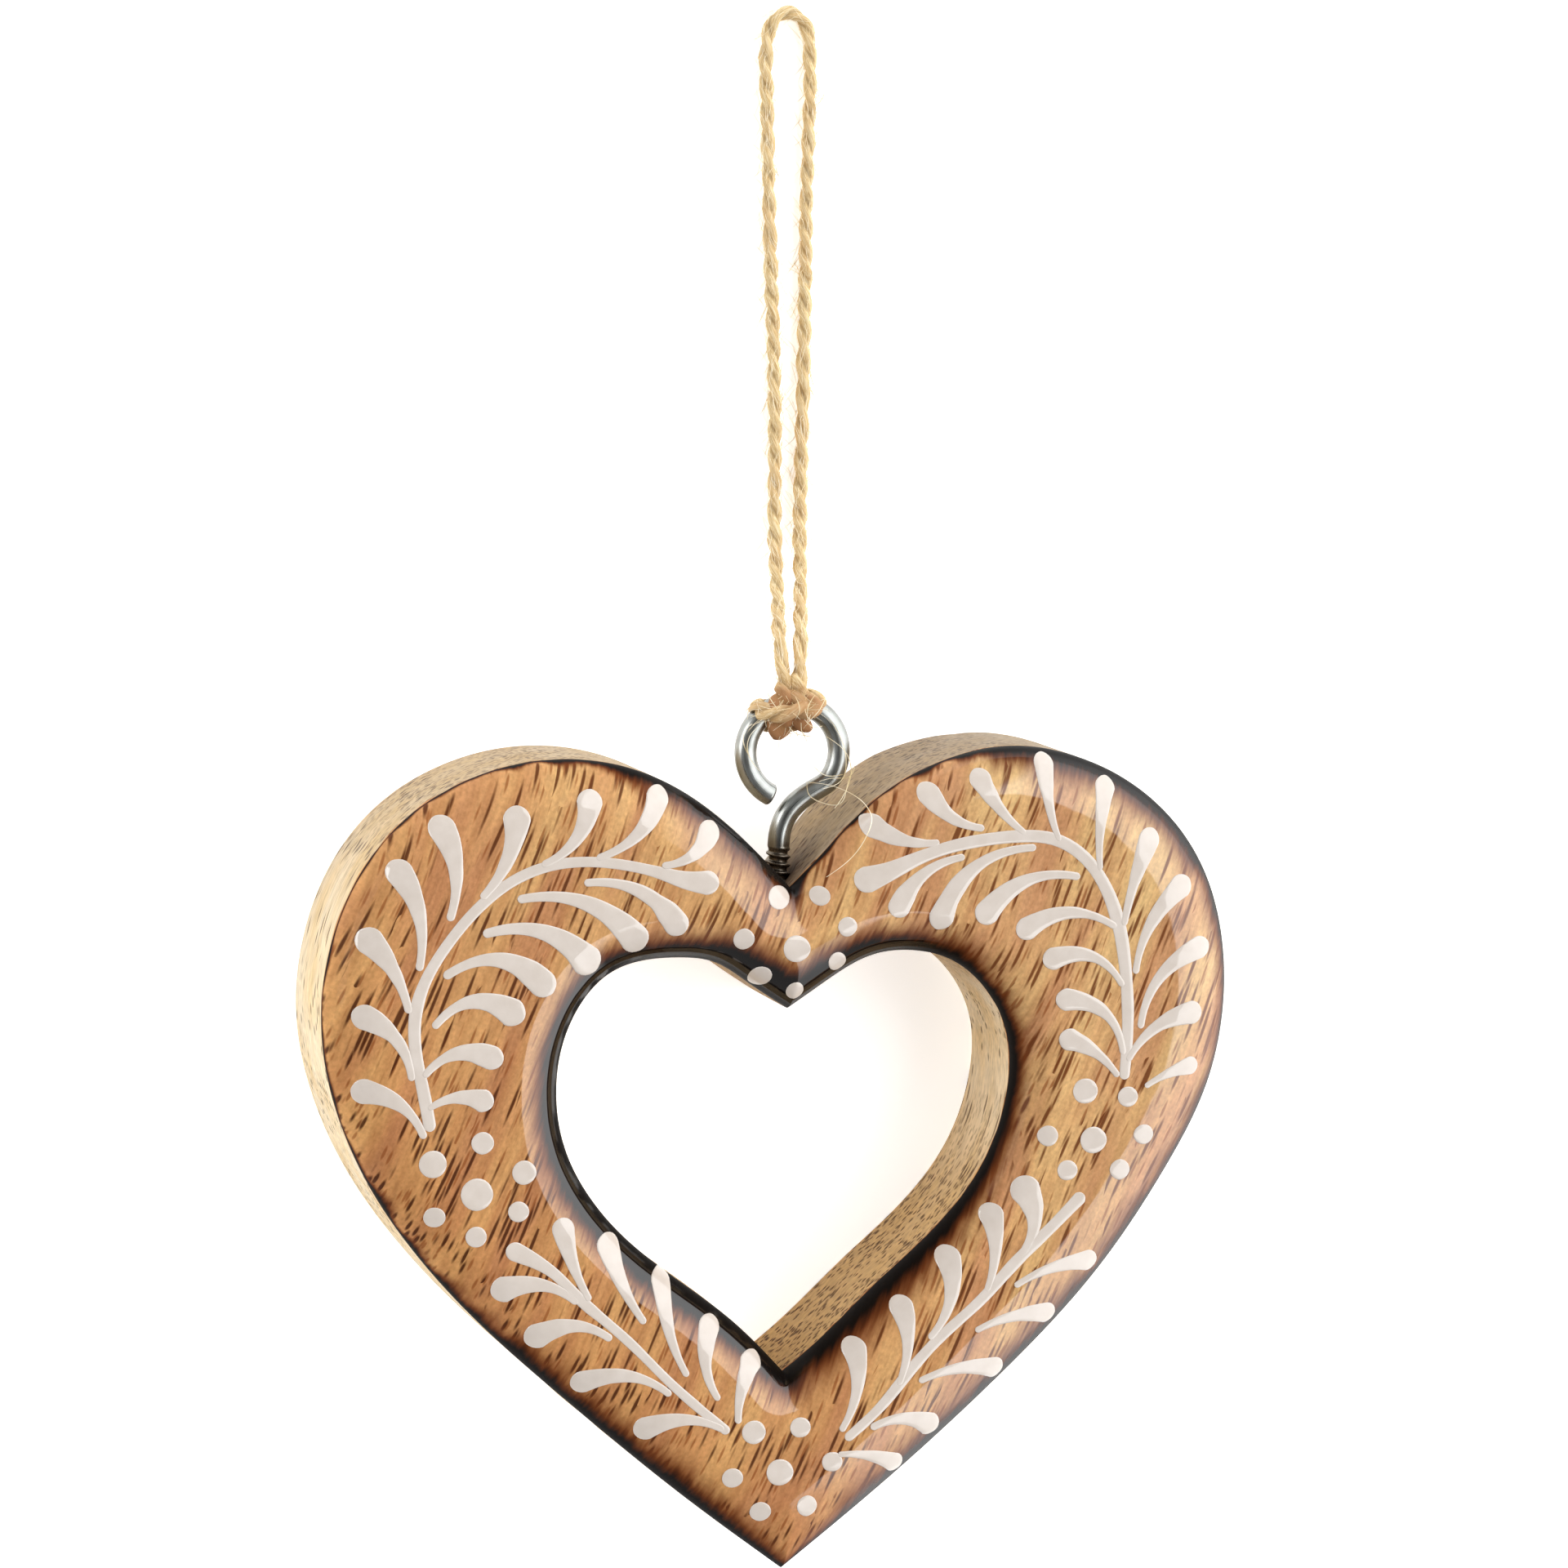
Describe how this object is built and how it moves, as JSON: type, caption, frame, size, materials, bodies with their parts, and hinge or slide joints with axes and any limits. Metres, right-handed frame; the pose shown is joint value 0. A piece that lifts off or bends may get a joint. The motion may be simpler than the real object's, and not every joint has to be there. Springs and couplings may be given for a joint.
{
  "type": "wooden heart ornament",
  "caption": "Open wooden heart with a heart-shaped hole, lacquered front with white painted sprigs, a small steel screw eye in the cleft and a loop of jute twine to hang it by.",
  "frame": {"origin": "on the surface the ornament lies on, under the middle of the heart and its screw eye taken together; the twine loop isn't counted", "axes": "+Z out of the painted front face, +Y from the heart's tip towards the screw eye and the loop, +X to the right as the front is seen"},
  "size_m": [0.1, 0.1681, 0.0195],
  "materials": {
    "painted_wood": "golden brown wood, burnt dark along the edges, white painted sprigs and dots, clear gloss lacquer on the front and bare sawn sides and back",
    "zinc_plated_wire": "bright zinc-plated steel wire, darker in the thread",
    "jute": "natural jute twine of two plies, hairy"
  },
  "bodies": {
    "root": {"heart": "painted_wood", "screw_eye": "zinc_plated_wire", "twine_loop": "jute"}
  },
  "joints": []
}
